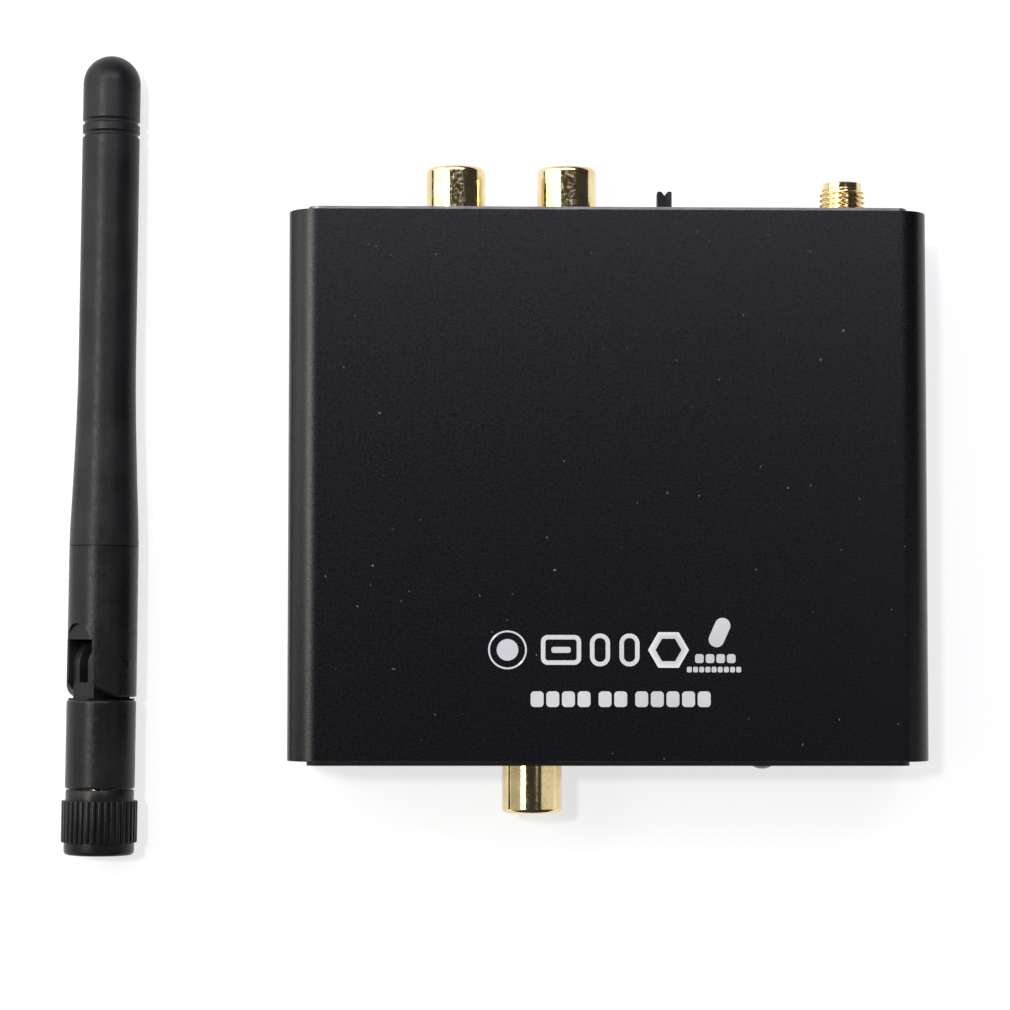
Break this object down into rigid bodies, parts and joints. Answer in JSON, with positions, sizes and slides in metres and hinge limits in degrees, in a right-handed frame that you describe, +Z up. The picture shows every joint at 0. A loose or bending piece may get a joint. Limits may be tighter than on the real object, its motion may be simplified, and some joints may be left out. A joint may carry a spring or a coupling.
{
  "type": "bluetooth audio receiver",
  "caption": "Flat extruded metal box with phono, optical, aerial and power sockets on its end panels, lying on its lid beside its tilting screw-on antenna.",
  "frame": {"origin": "middle of the face the box rests on, which is the lid: the underside of the case faces up", "axes": "+X along the long side of the box, +Y out of the rear panel, +Z up out of the underside of the case"},
  "size_m": [0.1195, 0.1133, 0.025],
  "materials": {
    "case_black": "bead-blasted, black anodised",
    "panel_silver": "natural brushed anodise",
    "panel_black": "black anodised, satin",
    "screw_black": "black zinc",
    "gold_plate": "polished gold plating",
    "jack_plastic": "moulded, semi-gloss",
    "insulator_white": "moulded",
    "insulator_red": "moulded",
    "insulator_black": "moulded",
    "ptfe": "turned",
    "tinned_steel": "tin plated",
    "knob_black": "moulded, satin",
    "lamp_dark": "dark tinted epoxy",
    "board_green": "solder mask over glass epoxy",
    "module_blue": "solder mask over glass epoxy",
    "shield_tin": "tin plated",
    "chip_black": "moulded",
    "capacitor_sleeve": "shrink sleeve",
    "crystal_can": "nickel plated",
    "passive_tan": "ceramic",
    "antenna_black": "moulded, fine texture",
    "whip_rubber": "smooth, soft-touch",
    "cable_black": "extruded",
    "brass_bare": "turned"
  },
  "bodies": {
    "receiver": {"aerial_socket_body": "gold_plate", "aerial_socket_contact": "gold_plate", "aerial_socket_dielectric": "ptfe", "bluetooth_module_board": "module_blue", "bluetooth_module_shield": "shield_tin", "case_extrusion": "case_black", "chip_passives": "passive_tan", "clock_crystal": "crystal_can", "coax_rca_contact": "gold_plate", "coax_rca_housing": "jack_plastic", "coax_rca_insulator": "insulator_black", "coax_rca_shell": "gold_plate", "converter_chip": "chip_black", "electrolytic_capacitors": "capacitor_sleeve", "front_panel": "panel_black", "front_panel_screws": "screw_black", "lamp_leads": "tinned_steel", "lamp_lens": "lamp_dark", "left_rca_contact": "gold_plate", "left_rca_housing": "jack_plastic", "left_rca_insulator": "insulator_white", "left_rca_shell": "gold_plate", "main_board": "board_green", "optical_emitter": "lamp_dark", "optical_housing": "jack_plastic", "output_amplifier_chip": "chip_black", "power_jack_housing": "jack_plastic", "power_jack_pin": "tinned_steel", "power_jack_spring": "tinned_steel", "rear_panel": "panel_silver", "rear_panel_screws": "screw_black", "right_rca_contact": "gold_plate", "right_rca_housing": "jack_plastic", "right_rca_insulator": "insulator_red", "right_rca_shell": "gold_plate", "switch_base": "chip_black", "switch_frame": "tinned_steel", "switch_terminals": "tinned_steel", "voltage_regulator": "chip_black"},
    "switch_slider": {"switch_knob": "knob_black", "switch_contact_clip": "tinned_steel"},
    "optical_flap": {"optical_shutter": "jack_plastic"},
    "antenna_plug": {"antenna_ferrule": "gold_plate", "antenna_dielectric": "ptfe", "antenna_centre_pin": "gold_plate", "antenna_snap_ring": "brass_bare"},
    "antenna_nut": {"antenna_nut_grip": "antenna_black", "antenna_nut_core": "gold_plate"},
    "antenna_foot": {"antenna_base": "antenna_black", "antenna_coax_lower": "cable_black"},
    "antenna_mast": {"antenna_elbow": "antenna_black", "antenna_hinge_pins": "antenna_black", "antenna_whip": "whip_rubber", "antenna_coax_upper": "cable_black", "antenna_dipole_sleeve": "brass_bare", "antenna_dipole_wire": "brass_bare"}
  },
  "joints": [
    {"name": "switch_slide", "type": "slide", "parent": "receiver", "child": "switch_slider", "axis": [1, 0, 0], "range_m": [0, 0.002]},
    {"name": "optical_shutter_swing", "type": "hinge", "parent": "receiver", "child": "optical_flap", "pos_m": [0.0054, -0.0358, 0.0156], "axis": [1, 0, 0], "range_deg": [0, 80], "stiffness_Nm_per_rad": 0.0002, "springref_deg": -17.19},
    {"name": "antenna_lift", "type": "slide", "parent": "receiver", "child": "antenna_plug", "axis": [0, 0, 1], "range_m": [0, 0.12]},
    {"name": "antenna_nut_spin", "type": "hinge", "parent": "antenna_plug", "child": "antenna_nut", "pos_m": [-0.07066, -0.04807, 0.00562], "axis": [0.0078, 0.9999, -0.0119], "continuous": true},
    {"name": "antenna_swivel", "type": "hinge", "parent": "antenna_plug", "child": "antenna_foot", "pos_m": [-0.07058, -0.03807, 0.0055], "axis": [0.0078, 0.9999, -0.0119], "continuous": true},
    {"name": "antenna_tilt", "type": "hinge", "parent": "antenna_foot", "child": "antenna_mast", "pos_m": [-0.07047, -0.02457, 0.00534], "axis": [0.7373, 0.0023, 0.6756], "range_deg": [0, 90]}
  ]
}
